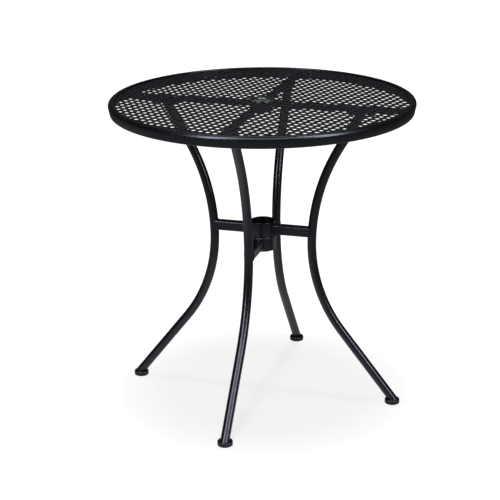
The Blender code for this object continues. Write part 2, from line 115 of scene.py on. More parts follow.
class Shade:
    """One socket in a finish's nodes. Sums on it add nodes of their own, and node() adds any other."""

    def __init__(self, tree, socket=None):
        self.tree = tree
        self.socket = socket

    def node(self, kind, settings=(), sockets=(), output=0):
        made = self.tree.nodes.new(kind)
        for name, value in dict(settings).items():
            setattr(made, name, value)
        for name, value in dict(sockets).items():
            if isinstance(value, Shade):
                self.tree.links.new(value.socket, made.inputs[name])
            else:
                made.inputs[name].default_value = value
        return Shade(self.tree, made.outputs[output])

    def place(self):
        """Where each point lies in the table's frame."""
        return self.node("ShaderNodeTexCoord", output="Object")

    def grain(self, scale, detail):
        """An uneven value over the surface, in soft clouds or fine grains by its scale."""
        return self.node("ShaderNodeTexNoise", sockets={
            "Vector": self.place(), "Scale": scale, "Detail": detail})

    def bump(self, strength, distance):
        """A normal from this value taken as a height."""
        return self.node("ShaderNodeBump", sockets={
            "Strength": strength, "Distance": distance, "Height": self})

    def fade(self, start, end, near, far):
        """A smooth change from near to far as this value goes from start to end."""
        return self.node("ShaderNodeMapRange", {"interpolation_type": "SMOOTHSTEP"}, {
            "Value": self, "From Min": start, "From Max": end, "To Min": near, "To Max": far})

    def grey(self):
        """A colour without a tint, as light as this value."""
        return self.node("ShaderNodeVectorMath", {"operation": "SCALE"}, {0: (1, 1, 1), "Scale": self})

    def sum(self, operation, first, second):
        return self.node("ShaderNodeMath", {"operation": operation}, {0: first, 1: second})

    def __add__(self, other):
        return self.sum("ADD", self, other)

    __radd__ = __add__

    def __sub__(self, other):
        return self.sum("SUBTRACT", self, other)

    def __rsub__(self, other):
        return self.sum("SUBTRACT", other, self)

    def __mul__(self, other):
        return self.sum("MULTIPLY", self, other)

    __rmul__ = __mul__


def finish(name, **sockets):
    """A new material on one Principled shader, and a Shade to build its nodes with."""
    made = bpy.data.materials.new(name)
    made.use_nodes = True
    shader = made.node_tree.nodes["Principled BSDF"]
    for socket, value in sockets.items():
        shader.inputs[socket.replace("_", " ")].default_value = value
    return made, Shade(made.node_tree), shader


def feed(shader, name, shade):
    """Link a Shade to one of the shader's sockets."""
    shade.tree.links.new(shade.socket, shader.inputs[name])


bpy.context.scene.view_settings.view_transform = "Standard"

floor_form = bmesh.new()
bmesh.ops.create_circle(floor_form, cap_ends=True, radius=FLOOR_RADIUS, segments=FLOOR_SIDES)
floor_edge = [edge for edge in floor_form.edges if edge.is_boundary]
wall = bmesh.ops.extrude_edge_only(floor_form, edges=floor_edge)
bmesh.ops.translate(floor_form, vec=(0, 0, WALL_HEIGHT),
                    verts=[part for part in wall["geom"] if isinstance(part, bmesh.types.BMVert)])
floor_mesh = bpy.data.meshes.new("floor")
floor_form.to_mesh(floor_mesh)
floor_form.free()
floor = bpy.data.objects.new("floor", floor_mesh)
bpy.context.scene.collection.objects.link(floor)

# The floor glows white for the camera, in gloss and through glass, but less under the table, as a painted
# shadow, and less up the wall. Over that lies a matt grey that takes the table's real shadow, and which gloss
# doesn't show.
floor_white, floor_shade, floor_shader = finish(
    "floor_white", Roughness=1.0, Emission_Strength=1.0, Specular_IOR_Level=0)
floor_place = floor_shade.place()
floor_distance = floor_shade.node(
    "ShaderNodeVectorMath", {"operation": "LENGTH"}, {0: floor_place}, output="Value")
# The floor's glow, dimmed under the table as a painted shadow.
floor_glow_with_painted_shadow = floor_distance.fade(PAINTED_SHADOW_FADE_START, PAINTED_SHADOW_FADE_END, FLOOR_GLOW_IN_PAINTED_SHADOW, FLOOR_GLOW_CLEAR)
floor_height = floor_shade.node("ShaderNodeSeparateXYZ", sockets={0: floor_place}, output="Z")
wall_dim = floor_height.fade(WALL_DIM_START, WALL_DIM_END, 1.0, WALL_DIM)
gloss_distance = floor_shade.node(
    "ShaderNodeVectorMath", {"operation": "DISTANCE"}, {0: floor_place, 1: GLOSS_CENTRE}, output="Value")
gloss_reach = gloss_distance.fade(GLOSS_REACH_START, GLOSS_REACH_END, 1.0, GLOSS_MIDDLE)
gloss_fall = gloss_distance.fade(GLOSS_FALL_START, GLOSS_FALL_END, 1.0, GLOSS_FAR)
camera_ray = floor_shade.node("ShaderNodeLightPath", output="Is Camera Ray")
glossy_ray = floor_shade.node("ShaderNodeLightPath", output="Is Glossy Ray")
through_ray = floor_shade.node("ShaderNodeLightPath", output="Is Transmission Ray")
floor_seen = floor_shade.node("ShaderNodeMath", {"operation": "ADD", "use_clamp": True}, {
    0: camera_ray + glossy_ray * (gloss_reach * gloss_fall), 1: through_ray})
floor_glow = floor_seen * floor_glow_with_painted_shadow * wall_dim
floor_matt = FLOOR_GREY * (1 - glossy_ray)
feed(floor_shader, "Emission Color", floor_glow.grey())
feed(floor_shader, "Base Color", floor_matt.grey())
floor_mesh.materials.append(floor_white)

ceiling = bpy.data.worlds.new("ceiling")
ceiling.use_nodes = True
ceiling_light = ceiling.node_tree.nodes["Background"]
ceiling_light.inputs["Color"].default_value = (CEILING_GREY, CEILING_GREY, CEILING_GREY, 1)
bpy.context.scene.world = ceiling


def add_softbox(name, turn, rise, distance, width, height, power, rays):
    """A flat lamp that faces the table's middle, with the rays that it shows itself to or hides from."""
    lamp = bpy.data.lights.new(name, "AREA")
    lamp.shape = "RECTANGLE"
    lamp.size = width
    lamp.size_y = height
    lamp.energy = power
    softbox = bpy.data.objects.new(name, lamp)
    bpy.context.scene.collection.objects.link(softbox)
    softbox.location = Vector((0, 0, SOFTBOX_AIM_HEIGHT)) + direction(turn, rise) * distance
    softbox.rotation_euler = direction(turn, rise).to_track_quat("Z", "Y").to_euler()
    for ray, shown in rays.items():
        setattr(softbox, ray, shown)
    return softbox


for row in SOFTBOXES:
    add_softbox(*row)


# The rim: one strip of sheet steel rolled into a ring. A narrow flat flange holds the mesh down, and a round
# shoulder turns it over into a skirt that is drawn slightly inward, with its foot curled in to a safe edge.
# It wears the black satin powder coat of every other metal piece of the table.
RIM_RADIUS = 0.350
TABLE_HEIGHT = 0.720
RIM_HEIGHT = 0.0265
RIM_FLANGE = 0.014
RIM_FLANGE_EDGE = 0.0007
RIM_SHOULDER = 0.008
RIM_DRAFT = 0.0035
RIM_SHEET = 0.0015
RIM_LIP = 0.003
RIM_CURL = 0.0022
RIM_CURL_END = -200
RIM_CURL_RISE = 3 * RIM_CURL
RIM_STEPS = 160

COAT_BLACK = (0.0028, 0.0032, 0.0035)
COAT_GREY = (0.0046, 0.0051, 0.0054)
COAT_TINT = (0.76, 0.81, 1.0)
COAT_ROUGHNESS = 0.28
COAT_ROUGHNESS_SPREAD = 0.08
COAT_EDGE_BLEND = 0.5
COAT_EDGE_ROUGHNESS = 0.15
CLOUD_SCALE = 38.0
CLOUD_DETAIL = 4.0
PEEL_SCALE = 620.0
PEEL_DETAIL = 2.0
PEEL_STRENGTH = 0.10
PEEL_HEIGHT = 0.00015
SMOOTH_ANGLE = math.radians(38)
SEW_DISTANCE = 0.000005
AXIS_DISTANCE = 0.00001
TURNED_STEPS = 96

powder_coat, coat_shade, coat_shader = finish("black_powder_coat", Specular_Tint=(*COAT_TINT, 1))
coat_cloud = coat_shade.grain(CLOUD_SCALE, CLOUD_DETAIL)
coat_peel = coat_shade.grain(PEEL_SCALE, PEEL_DETAIL)
# A Mix node's colours are its sockets 6 and 7, and output 2.
coat_colour = coat_shade.node("ShaderNodeMix", {"data_type": "RGBA"}, {
    0: coat_cloud, 6: (*COAT_BLACK, 1), 7: (*COAT_GREY, 1)}, output=2)
coat_facing = coat_shade.node("ShaderNodeLayerWeight", sockets={"Blend": COAT_EDGE_BLEND}, output="Facing")
coat_edge = coat_facing * coat_facing * coat_facing * COAT_EDGE_ROUGHNESS
coat_least = COAT_ROUGHNESS - COAT_ROUGHNESS_SPREAD / 2
feed(coat_shader, "Base Color", coat_colour)
feed(coat_shader, "Roughness", coat_cloud * COAT_ROUGHNESS_SPREAD + coat_least + coat_edge)
feed(coat_shader, "Normal", coat_peel.bump(PEEL_STRENGTH, PEEL_HEIGHT))


def add_piece(name, mesh, material, body="table"):
    """Link a finished mesh as a piece of the table, smooth where it is round, with its material, on its body.
    """
    piece = bpy.data.objects.new(name, mesh)
    bpy.context.scene.collection.objects.link(piece)
    mesh.materials.clear()
    mesh.materials.append(material)
    mesh.shade_smooth()
    mesh.set_sharp_from_angle(angle=SMOOTH_ANGLE)
    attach(piece, body)
    return piece


def made_mesh(source):
    """The mesh of an object's modifiers or curve, sewn and facing out; the object itself goes."""
    bpy.context.view_layer.update()
    mesh = bpy.data.meshes.new_from_object(source.evaluated_get(bpy.context.evaluated_depsgraph_get()))
    mesh.transform(source.matrix_world)
    form = bmesh.new()
    form.from_mesh(mesh)
    bmesh.ops.remove_doubles(form, verts=form.verts, dist=SEW_DISTANCE)
    bmesh.ops.recalc_face_normals(form, faces=form.faces)
    form.to_mesh(mesh)
    form.free()
    bpy.data.objects.remove(source)
    return mesh


def turned(name, profile, steps=TURNED_STEPS, closed=True):
    """A profile of (radius, height) turned round the table's axis."""
    mesh = bpy.data.meshes.new(name)
    edges = [(i, i + 1) for i in range(len(profile) - 1)]
    if closed:
        edges.append((len(profile) - 1, 0))
    mesh.from_pydata([(radius, 0, height) for radius, height in profile], edges, [])
    source = bpy.data.objects.new(name, mesh)
    bpy.context.scene.collection.objects.link(source)
    screw = source.modifiers.new("turn", "SCREW")
    screw.steps = steps
    screw.render_steps = steps
    screw.use_merge_vertices = True
    screw.merge_threshold = AXIS_DISTANCE
    return made_mesh(source)


def arc(centre_radius, centre_height, radius, start, end, steps):
    """Points of (radius, height) on a round stretch of a profile; angles in degrees from outward."""
    points = []
    for i in range(steps + 1):
        angle = math.radians(start + (end - start) * i / steps)
        points.append((centre_radius + radius * math.cos(angle), centre_height + radius * math.sin(angle)))
    return points


rim_bottom = TABLE_HEIGHT - RIM_HEIGHT
shoulder_radius = RIM_RADIUS - RIM_SHOULDER
shoulder_height = TABLE_HEIGHT - RIM_SHOULDER
flange_inside = RIM_RADIUS - RIM_FLANGE
curl_middle = RIM_RADIUS - RIM_DRAFT - RIM_CURL
curl_top = rim_bottom + RIM_CURL_RISE
curl_drawn_in = RIM_DRAFT * (shoulder_height - curl_top) / (shoulder_height - rim_bottom)

rim_profile = arc(flange_inside + RIM_FLANGE_EDGE, TABLE_HEIGHT - RIM_FLANGE_EDGE, RIM_FLANGE_EDGE,
                  180, 90, steps=3)
rim_profile += arc(shoulder_radius, shoulder_height, RIM_SHOULDER, 90, 0, steps=12)
rim_profile += arc(curl_middle, rim_bottom + RIM_CURL, RIM_CURL, 0, RIM_CURL_END, steps=9)
rim_profile += [(RIM_RADIUS - RIM_SHEET - curl_drawn_in, curl_top)]
rim_profile += arc(shoulder_radius, shoulder_height, RIM_SHOULDER - RIM_SHEET, 0, 90, steps=8)
rim_profile += [(flange_inside + RIM_SHEET, TABLE_HEIGHT - RIM_SHEET),
                (flange_inside + RIM_SHEET, TABLE_HEIGHT - RIM_LIP),
                (flange_inside, TABLE_HEIGHT - RIM_LIP)]
rim = add_piece("rolled_rim", turned("rolled_rim", rim_profile, RIM_STEPS), powder_coat)
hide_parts("rim")


# The top: one round sheet of expanded metal. Slits in the sheet are pulled open to a square lattice of
# rounded diamonds, which leaves every strand between two of them a little tilted. The sheet lies on the
# cross of bars, and its cut edge hides under the rim's flange.
SHEET_TOP = 0.7163
SHEET_THICKNESS = 0.0012
SHEET_RADIUS = 0.3435
SHEET_SIDES = 144
SHEET_OPEN_RADIUS = 0.3410
HUB_HOLE_RADIUS = 0.0245
HUB_HOLE_SIDES = 48
HUB_OPEN_RADIUS = 0.0285
LATTICE_ACROSS = (0.01728, -0.00473)
LATTICE_ALONG = (0.00505, 0.01794)
LATTICE_START = (0.0, -0.0098)
LATTICE_SPARE = 3
OPENING_HALF = 0.0051
OPENING_LEAST_SHARE = 0.2
OPENING_FORM = ((1, -0.45), (1, 0.45), (0.83, 0.83), (0.45, 1), (-0.45, 1), (-0.83, 0.83),
                (-1, 0.45), (-1, -0.45), (-0.83, -0.83), (-0.45, -1), (0.45, -1), (0.83, -0.83))
STRAND_EDGE = 0.00022
STRAND_TILT = 0.0004
STRAND_TILT_REACH = 0.6
MESH_COAT = (0.0030, 0.0033, 0.0036)
MESH_SPECULAR = 0.36
MESH_ROUGHNESS = 0.42
MESH_CLOUD_SCALE = 160.0


def clipped(outline, normal, limit):
    """The part of an outline whose distance along a direction stays under a limit."""
    kept = []
    for (ax, ay), (bx, by) in zip(outline, outline[1:] + outline[:1]):
        a = ax * normal[0] + ay * normal[1] - limit
        b = bx * normal[0] + by * normal[1] - limit
        if a <= 0:
            kept.append((ax, ay))
        if a * b < 0:
            share = a / (a - b)
            kept.append((ax + share * (bx - ax), ay + share * (by - ay)))
    return kept


def outline_area(outline):
    """The area that an outline encloses."""
    sides = zip(outline, outline[1:] + outline[:1])
    return abs(sum(ax * by - bx * ay for (ax, ay), (bx, by) in sides)) / 2


def ring(radius, count):
    """Points of (x, y) round a circle."""
    angles = [math.tau * i / count for i in range(count)]
    return [(radius * math.cos(angle), radius * math.sin(angle)) for angle in angles]


across_length = math.hypot(*LATTICE_ACROSS)
along_length = math.hypot(*LATTICE_ALONG)
across_unit = (LATTICE_ACROSS[0] / across_length, LATTICE_ACROSS[1] / across_length)
along_unit = (LATTICE_ALONG[0] / along_length, LATTICE_ALONG[1] / along_length)
whole_opening = [(OPENING_HALF * (a * across_unit[0] + b * along_unit[0]),
                  OPENING_HALF * (a * across_unit[1] + b * along_unit[1])) for a, b in OPENING_FORM]
least_area = OPENING_LEAST_SHARE * outline_area(whole_opening)

sheet_outlines = [ring(SHEET_RADIUS, SHEET_SIDES), ring(HUB_HOLE_RADIUS, HUB_HOLE_SIDES)]
lattice_reach = int(SHEET_RADIUS / min(across_length, along_length)) + LATTICE_SPARE
for i in range(-lattice_reach, lattice_reach + 1):
    for j in range(-lattice_reach, lattice_reach + 1):
        x = LATTICE_START[0] + i * LATTICE_ACROSS[0] + j * LATTICE_ALONG[0]
        y = LATTICE_START[1] + i * LATTICE_ACROSS[1] + j * LATTICE_ALONG[1]
        away = math.hypot(x, y)
        outward = (x / away, y / away)
        opening = [(x + a, y + b) for a, b in whole_opening]
        opening = clipped(opening, outward, SHEET_OPEN_RADIUS)
        opening = clipped(opening, (-outward[0], -outward[1]), -HUB_OPEN_RADIUS)
        if len(opening) > 2 and outline_area(opening) > least_area:
            sheet_outlines.append(opening)

sheet_curve = bpy.data.curves.new("sheet", "CURVE")
sheet_curve.dimensions = "2D"
sheet_curve.fill_mode = "BOTH"
sheet_curve.extrude = SHEET_THICKNESS / 2 - STRAND_EDGE
sheet_curve.bevel_depth = STRAND_EDGE
sheet_curve.bevel_resolution = 0
for outline in sheet_outlines:
    spline = sheet_curve.splines.new("POLY")
    spline.points.add(len(outline) - 1)
    for point, (x, y) in zip(spline.points, outline):
        point.co = (x, y, 0, 1)
    spline.use_cyclic_u = True
sheet_source = bpy.data.objects.new("sheet", sheet_curve)
bpy.context.scene.collection.objects.link(sheet_source)
sheet_mesh = made_mesh(sheet_source)

# Each strand tilts: the edge nearest one opening is raised and the edge nearest the next is lowered.
lattice_to_place = Matrix(((LATTICE_ACROSS[0], LATTICE_ALONG[0]), (LATTICE_ACROSS[1], LATTICE_ALONG[1])))
place_to_lattice = lattice_to_place.inverted()
for vertex in sheet_mesh.vertices:
    x, y = vertex.co.x - LATTICE_START[0], vertex.co.y - LATTICE_START[1]
    share = place_to_lattice @ Vector((x, y))
    offset = (share.x - round(share.x)) + (share.y - round(share.y))
    tilt = STRAND_TILT * max(-1, min(1, offset / STRAND_TILT_REACH))
    vertex.co.z += SHEET_TOP - SHEET_THICKNESS / 2 + tilt

mesh_coat, mesh_shade, mesh_shader = finish(
    "black_mesh_coat", Base_Color=(*MESH_COAT, 1), Specular_Tint=(*COAT_TINT, 1),
    Specular_IOR_Level=MESH_SPECULAR)
mesh_cloud = mesh_shade.grain(MESH_CLOUD_SCALE, CLOUD_DETAIL)
mesh_least = MESH_ROUGHNESS - COAT_ROUGHNESS_SPREAD / 2
feed(mesh_shader, "Roughness", mesh_cloud * COAT_ROUGHNESS_SPREAD + mesh_least)
sheet = add_piece("expanded_mesh", sheet_mesh, mesh_coat)
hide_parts("top_mesh")


# The cross that carries the top: four square tubes welded to a collar in the middle and to the inside of the
# skirt. Under each a flat plate, welded on the leg's end, is held by two zinc-plated bolts with nuts in the
# tube. The tubes, plates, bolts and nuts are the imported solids, and the collar and the welds are made here.
STATIONS = {"right": 0, "rear": 90, "left": 180, "front": 270}
BAR_SIZE = 0.013
BAR_CORNER = 0.0015
BAR_MIDDLE = 0.7084
BAR_END = 0.3458
COLLAR_INSIDE = 0.0238
COLLAR_OUTSIDE = 0.0263
COLLAR_EDGE = 0.0004
BAR_BEAD = 0.0011
BAR_BEAD_OFF = BAR_BEAD / 3
BEAD_SIDES = 8
BEAD_STEP = 0.0006
BEAD_LEAST_STEPS = 8
BEAD_UNEVEN = 0.18
BEAD_UNEVEN_SCALE = 260
RIPPLE_STEPS = 4
RIPPLE_DEPTH = 0.22
ZINC_GREY = (0.50, 0.51, 0.53)
ZINC_ROUGHNESS = 0.22
ZINC_ROUGHNESS_SPREAD = 0.25
ZINC_CLOUD_SCALE = 400.0
ZINC_CLOUD_DETAIL = 3.0

zinc, zinc_shade, zinc_shader = finish("zinc_plating", Base_Color=(*ZINC_GREY, 1), Metallic=1.0)
zinc_cloud = zinc_shade.grain(ZINC_CLOUD_SCALE, ZINC_CLOUD_DETAIL)
feed(zinc_shader, "Roughness", zinc_cloud * ZINC_ROUGHNESS_SPREAD + ZINC_ROUGHNESS)


def coat_nodes(material, *names):
    """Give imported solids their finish."""
    for name in names:
        for place in nodes[name].material_slots:
            place.material = material


def skinned(name, loops, closed=True):
    """Quads from each loop of points to the next, then back to the first loop, or a face on each end."""
    count = len(loops[0])
    faces = []
    for i in range(len(loops) if closed else len(loops) - 1):
        here, there = i * count, (i + 1) % len(loops) * count
        for j in range(count):
            after = (j + 1) % count
            faces.append((here + j, here + after, there + after, there + j))
    if not closed:
        last = (len(loops) - 1) * count
        faces += [tuple(range(count)), tuple(range(last, last + count))]
    mesh = bpy.data.meshes.new(name)
    mesh.from_pydata([point for loop in loops for point in loop], [], faces)
    form = bmesh.new()
    form.from_mesh(mesh)
    bmesh.ops.recalc_face_normals(form, faces=form.faces)
    form.to_mesh(mesh)
    form.free()
    return mesh


def swung(mesh, station):
    """Swing a mesh made over +X round to a station."""
    mesh.transform(Matrix.Rotation(math.radians(STATIONS[station]), 4, "Z"))
    return mesh


def square_outline(size, corner, corner_steps, side_steps):
    """Points of (across, up) round a square tube's section, with its flats divided too."""
    outline = []
    flat = size / 2 - corner
    for quarter in range(4):
        c, s = math.cos(math.tau * quarter / 4), math.sin(math.tau * quarter / 4)
        for i in range(corner_steps + side_steps):
            if i < corner_steps:
                angle = math.radians(90 * i / corner_steps)
                x, y = flat + corner * math.cos(angle), flat + corner * math.sin(angle)
            else:
                x, y = flat - 2 * flat * (i - corner_steps) / side_steps, flat + corner
            outline.append((x * c - y * s, x * s + y * c))
    return outline


def evened(path, step, closed=True):
    """The same path with its points a step apart."""
    ends = path[1:] + path[:1] if closed else path[1:]
    lengths = [(end - start).length for start, end in zip(path, ends)]
    count = max(BEAD_LEAST_STEPS, round(sum(lengths) / step))
    points = []
    i, passed = 0, 0.0
    for n in range(count if closed else count + 1):
        at = sum(lengths) * n / count
        while i < len(lengths) - 1 and passed + lengths[i] < at:
            passed += lengths[i]
            i += 1
        points.append(path[i].lerp(ends[i], min(1, (at - passed) / lengths[i])))
    return points


def add_weld(name, station, path, radius, outward, closed=True):
    """A rippled bead of weld as a piece of its own, along a path made over +X and swung round to a station.
    Outward is any direction that the path never runs in."""
    points = evened(path, BEAD_STEP, closed)
    loops = []
    for i, point in enumerate(points):
        before = points[i - 1] if closed or i else point
        after = points[(i + 1) % len(points)] if closed or i < len(points) - 1 else point
        along = (after - before).normalized()
        first = (outward - along * outward.dot(along)).normalized()
        second = along.cross(first)
        ripple = 1 - RIPPLE_DEPTH * (i % RIPPLE_STEPS) / RIPPLE_STEPS
        size = radius * ripple * (1 + BEAD_UNEVEN * noise.noise(point * BEAD_UNEVEN_SCALE))
        loops.append([point + size * (first * x + second * y) for x, y in ring(1, BEAD_SIDES)])
    add_piece(name + station, swung(skinned(name + station, loops, closed), station), powder_coat)


bar_half = BAR_SIZE / 2
bar_top, bar_bottom = BAR_MIDDLE + bar_half, BAR_MIDDLE - bar_half
collar_profile = [(COLLAR_INSIDE + COLLAR_EDGE, bar_top), (COLLAR_OUTSIDE - COLLAR_EDGE, bar_top),
                  (COLLAR_OUTSIDE, bar_top - COLLAR_EDGE), (COLLAR_OUTSIDE, bar_bottom + COLLAR_EDGE),
                  (COLLAR_OUTSIDE - COLLAR_EDGE, bar_bottom), (COLLAR_INSIDE + COLLAR_EDGE, bar_bottom),
                  (COLLAR_INSIDE, bar_bottom + COLLAR_EDGE), (COLLAR_INSIDE, bar_top - COLLAR_EDGE)]
collar = add_piece("cross_collar", turned("cross_collar", collar_profile), powder_coat)
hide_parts("centre_collar")

# A bar is welded round its sides and its underside. The mesh lies on its upper side.
bar_outline = square_outline(BAR_SIZE, BAR_CORNER, corner_steps=3, side_steps=4)
bar_around = [(y, z) for y, z in bar_outline if z < bar_half - BAR_CORNER]
bar_around.sort(key=lambda point: math.atan2(point[0], -point[1]))
at_collar = [Vector((math.sqrt(COLLAR_OUTSIDE ** 2 - y ** 2) + BAR_BEAD_OFF, y, BAR_MIDDLE + z))
             for y, z in bar_around]
at_skirt = [Vector((BAR_END, y, BAR_MIDDLE + z)) for y, z in bar_around]
for station in STATIONS:
    coat_nodes(powder_coat, "under_bar_" + station, "leg_plate_" + station)
    for side in ("_inner", "_outer"):
        coat_nodes(zinc, "bolt_" + station + side, "nut_" + station + side)
    add_weld("collar_weld_", station, at_collar, BAR_BEAD, Vector((1, 0, 0)), closed=False)
    add_weld("skirt_weld_", station, at_skirt, BAR_BEAD, Vector((1, 0, 0)), closed=False)


# The umbrella hole: a black plastic bush with a round flange lies over the mesh and reaches down through the
# collar, and a cap with a dished top and a raised round edge is pushed into it until an umbrella is used.
# Both are moulded, with a smoother and brighter gloss than the powder coat.
HOLE_RADIUS = 0.0195
INSERT_OUTSIDE = 0.0235
INSERT_BOTTOM = 0.6907
INSERT_FOOT_OUTSIDE = 0.0006
INSERT_FOOT_INSIDE = 0.0004
INSERT_FLANGE_RADIUS = 0.030
INSERT_FLANGE_BOTTOM = 0.7168
INSERT_FLANGE_TOP = 0.7188
INSERT_FLANGE_EDGE = 0.0009
INSERT_SEAT = 0.7176
CAP_RADIUS = 0.021
CAP_GAP = 0.0003
CAP_BOTTOM = 0.7179
CAP_EDGE = 0.0004
CAP_CREST = 0.0151
CAP_CREST_WIDE = 0.0056
CAP_CREST_HIGH = 0.0031
CAP_CREST_INSIDE = 168
CAP_CREST_OUTSIDE = 12
CAP_DISH_FLOOR = 0.7166
CAP_DISH_FLAT = 0.005
CAP_DISH_EDGE = 0.0095
CAP_DISH_RISE = 0.0002
CAP_SKIRT = 0.0192
CAP_SKIRT_WALL = 0.0016
CAP_SKIRT_BOTTOM = 0.7019
PLASTIC_BLACK = (0.0105, 0.0115, 0.0125)
PLASTIC_SPECULAR = 1.0
PLASTIC_TINT = (0.82, 0.93, 0.95)
PLASTIC_ROUGHNESS = 0.24
PLASTIC_ROUGHNESS_SPREAD = 0.06
PLASTIC_GRAIN_SCALE = 900.0
PLASTIC_GRAIN_DETAIL = 2.0
PLASTIC_GRAIN_STRENGTH = 0.02
PLASTIC_GRAIN_HEIGHT = 0.0001
CAP_LAMPS = {"left_cap_lamp": -86, "right_cap_lamp": 119}
CAP_LAMP_RISE = 44
CAP_LAMP_DISTANCE = 3.0
CAP_LAMP_SIZE = (2.0, 1.4)
CAP_LAMP_POWER = 60

insert_plastic, insert_shade, insert_shader = finish(
    "black_insert_plastic", Base_Color=(*PLASTIC_BLACK, 1), Specular_Tint=(*PLASTIC_TINT, 1),
    Specular_IOR_Level=PLASTIC_SPECULAR)
insert_grain = insert_shade.grain(PLASTIC_GRAIN_SCALE, PLASTIC_GRAIN_DETAIL)
feed(insert_shader, "Roughness", insert_grain * PLASTIC_ROUGHNESS_SPREAD + PLASTIC_ROUGHNESS)
feed(insert_shader, "Normal", insert_grain.bump(PLASTIC_GRAIN_STRENGTH, PLASTIC_GRAIN_HEIGHT))

seat_radius = CAP_RADIUS + CAP_GAP
insert_profile = [(seat_radius, INSERT_FLANGE_TOP)]
insert_profile += arc(INSERT_FLANGE_RADIUS - INSERT_FLANGE_EDGE, INSERT_FLANGE_TOP - INSERT_FLANGE_EDGE,
                      INSERT_FLANGE_EDGE, 90, 0, steps=5)
insert_profile += [(INSERT_FLANGE_RADIUS, INSERT_FLANGE_BOTTOM), (INSERT_OUTSIDE, INSERT_FLANGE_BOTTOM),
                   (INSERT_OUTSIDE, INSERT_BOTTOM + INSERT_FOOT_OUTSIDE),
                   (INSERT_OUTSIDE - INSERT_FOOT_OUTSIDE, INSERT_BOTTOM),
                   (HOLE_RADIUS + INSERT_FOOT_INSIDE, INSERT_BOTTOM),
                   (HOLE_RADIUS, INSERT_BOTTOM + INSERT_FOOT_INSIDE),
                   (HOLE_RADIUS, INSERT_SEAT), (seat_radius, INSERT_SEAT)]
insert = add_piece("umbrella_bush", turned("umbrella_bush", insert_profile), insert_plastic)
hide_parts("pole_hole_insert")

crest_foot = TABLE_HEIGHT - CAP_CREST_HIGH
skirt_inside = CAP_SKIRT - CAP_SKIRT_WALL
cap_profile = [(0, CAP_DISH_FLOOR), (CAP_DISH_FLAT, CAP_DISH_FLOOR),
               (CAP_DISH_EDGE, CAP_DISH_FLOOR + CAP_DISH_RISE)]
cap_profile += [(CAP_CREST + (away - CAP_CREST) * CAP_CREST_WIDE, crest_foot + up * CAP_CREST_HIGH)
                for away, up in arc(CAP_CREST, 0, 1, CAP_CREST_INSIDE, CAP_CREST_OUTSIDE, steps=16)]
cap_profile += [(CAP_RADIUS - CAP_EDGE, CAP_BOTTOM + 2 * CAP_EDGE), (CAP_RADIUS, CAP_BOTTOM + CAP_EDGE),
                (CAP_RADIUS, CAP_BOTTOM), (CAP_SKIRT, CAP_BOTTOM),
                (CAP_SKIRT, CAP_SKIRT_BOTTOM + CAP_SKIRT_WALL),
                (CAP_SKIRT - CAP_SKIRT_WALL / 2, CAP_SKIRT_BOTTOM), (skirt_inside, CAP_SKIRT_BOTTOM),
                (skirt_inside, CAP_DISH_FLOOR - CAP_SKIRT_WALL), (0, CAP_DISH_FLOOR - CAP_SKIRT_WALL)]
cap = add_piece("umbrella_cap", turned("umbrella_cap", cap_profile, closed=False), insert_plastic,
                body="plug")
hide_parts("pole_hole_plug")

# Two soft side lamps that light only the bush and the cap put the pale spots on the cap's round edge.
cap_and_bush = bpy.data.collections.new("cap_and_bush")
cap_and_bush.objects.link(cap)
cap_and_bush.objects.link(insert)
for name, turn in CAP_LAMPS.items():
    lamp = add_softbox(name, turn, CAP_LAMP_RISE, CAP_LAMP_DISTANCE, *CAP_LAMP_SIZE, CAP_LAMP_POWER,
                       {"visible_diffuse": False})
    lamp.light_linking.receiver_collection = cap_and_bush


# The legs: four lengths of round steel tube, each bent outward at both ends from a waist beside the hub, and
# cut level for the plate above and the pad below. A bead of weld runs round the top of each.
LEG_RADIUS = 0.0105
LEG_WALL = 0.0012
LEG_SIDES = 32
LEG_BEND_STEPS = 30
LEG_END_STEPS = 6
LEG_BOTTOM = 0.0111
LEG_TOP = 0.6985
WAIST_RADIUS = 0.1185
WAIST_HEIGHT = 0.382
UPPER_BEND = 0.462
UPPER_ANGLE = math.radians(30.5)
LOWER_BEND = 0.342
LOWER_ANGLE = math.radians(38.3)
LEG_BEAD = 0.0014
LEG_BEAD_OFF = LEG_BEAD / 3
LEG_BEAD_POINTS = 60


def leg_axis(height):
    """Distance of a leg's centre line from the table's axis at a height, and how far it leans out there."""
    rise = height - WAIST_HEIGHT
    bend, angle = (UPPER_BEND, UPPER_ANGLE) if rise > 0 else (LOWER_BEND, LOWER_ANGLE)
    if abs(rise) < bend * math.sin(angle):
        lean = math.asin(rise / bend)
        return WAIST_RADIUS + bend * (1 - math.cos(lean)), lean
    beyond = (abs(rise) - bend * math.sin(angle)) * math.tan(angle)
    return WAIST_RADIUS + bend * (1 - math.cos(angle)) + beyond, math.copysign(angle, rise)


def leg_heights():
    """Heights of the rings of points along a leg, from the pad to the plate."""
    lower = WAIST_HEIGHT - LOWER_BEND * math.sin(LOWER_ANGLE)
    upper = WAIST_HEIGHT + UPPER_BEND * math.sin(UPPER_ANGLE)
    heights = [LEG_BOTTOM + (lower - LEG_BOTTOM) * i / LEG_END_STEPS for i in range(LEG_END_STEPS)]
    heights += [WAIST_HEIGHT - LOWER_BEND * math.sin(LOWER_ANGLE * (1 - i / LEG_BEND_STEPS))
                for i in range(LEG_BEND_STEPS)]
    heights += [WAIST_HEIGHT + UPPER_BEND * math.sin(UPPER_ANGLE * i / LEG_BEND_STEPS)
                for i in range(LEG_BEND_STEPS)]
    return heights + [upper + (LEG_TOP - upper) * i / LEG_END_STEPS for i in range(LEG_END_STEPS + 1)]


def leg_rings(radius):
    """Rings of points square to the leg along it, the first and last slid along it to lie level."""
    heights = leg_heights()
    rings = []
    for height in heights:
        away, lean = leg_axis(height)
        middle = Vector((away, 0, height))
        along = Vector((math.sin(lean), 0, math.cos(lean)))
        outward = Vector((math.cos(lean), 0, -math.sin(lean)))
        points = [middle + radius * (outward * x + Vector((0, y, 0))) for x, y in ring(1, LEG_SIDES)]
        if height in (heights[0], heights[-1]):
            points = [point + along * (height - point.z) / along.z for point in points]
        rings.append(points)
    return rings


